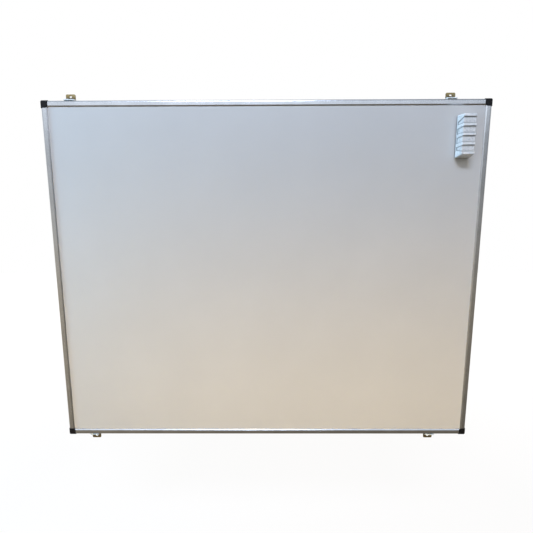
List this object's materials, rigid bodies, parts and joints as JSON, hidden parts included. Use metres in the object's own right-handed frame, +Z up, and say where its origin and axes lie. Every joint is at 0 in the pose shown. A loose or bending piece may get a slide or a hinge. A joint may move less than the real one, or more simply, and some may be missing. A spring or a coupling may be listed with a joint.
{
  "type": "whiteboard",
  "caption": "Framed dry-erase wall board with black corner caps, wall brackets that slide along the rails and a ribbed magnetic eraser that slides over the panel.",
  "frame": {"origin": "middle of the rectangle of the four wall screw slots, on the wall plane", "axes": "+X along the board to the viewer's right, +Z up, +Y into the wall, so the writing face looks to -Y"},
  "size_m": [1.5, 0.051, 1.246],
  "materials": {
    "white_enamel": "gloss dry-erase enamel",
    "fibreboard": "raw fibreboard",
    "galvanised_steel": "satin galvanised",
    "anodised_aluminium": "satin anodised",
    "black_plastic": "fine matte moulding",
    "passivated_steel": "yellow zinc plating",
    "white_nylon": "smooth moulding",
    "white_abs": "soft gloss moulding",
    "grey_felt": "pressed wool",
    "grey_foam": "open-cell foam",
    "magnet": "sintered ferrite",
    "screw_steel": "bright zinc plating"
  },
  "bodies": {
    "board": {"backing_sheet": "galvanised_steel", "core_board": "fibreboard", "corner_cap_bottom_left": "black_plastic", "corner_cap_bottom_right": "black_plastic", "corner_cap_top_left": "black_plastic", "corner_cap_top_right": "black_plastic", "corner_screws": "screw_steel", "rail_bottom": "anodised_aluminium", "rail_left": "anodised_aluminium", "rail_right": "anodised_aluminium", "rail_top": "anodised_aluminium", "writing_sheet": "white_enamel"},
    "bracket_top_left": {"bracket_plate_top_left": "passivated_steel", "bracket_shoe_top_left": "white_nylon"},
    "bracket_top_right": {"bracket_plate_top_right": "passivated_steel", "bracket_shoe_top_right": "white_nylon"},
    "bracket_bottom_left": {"bracket_plate_bottom_left": "passivated_steel", "bracket_shoe_bottom_left": "white_nylon"},
    "bracket_bottom_right": {"bracket_plate_bottom_right": "passivated_steel", "bracket_shoe_bottom_right": "white_nylon"},
    "eraser": {"eraser_shell": "white_abs", "eraser_felt": "grey_felt", "eraser_foam": "grey_foam", "eraser_magnets": "magnet"}
  },
  "joints": [
    {"name": "bracket_top_left_slide", "type": "slide", "parent": "board", "child": "bracket_top_left", "axis": [1, 0, 0], "range_m": [-0.052, 0.63]},
    {"name": "bracket_top_right_slide", "type": "slide", "parent": "board", "child": "bracket_top_right", "axis": [1, 0, 0], "range_m": [-0.59, 0.09]},
    {"name": "bracket_bottom_left_slide", "type": "slide", "parent": "board", "child": "bracket_bottom_left", "axis": [1, 0, 0], "range_m": [-0.052, 0.63]},
    {"name": "bracket_bottom_right_slide", "type": "slide", "parent": "board", "child": "bracket_bottom_right", "axis": [1, 0, 0], "range_m": [-0.59, 0.09]},
    {"name": "eraser_slide", "type": "slide", "parent": "board", "child": "eraser", "axis": [1, 0, 0], "range_m": [-1.358, 0.04]}
  ]
}
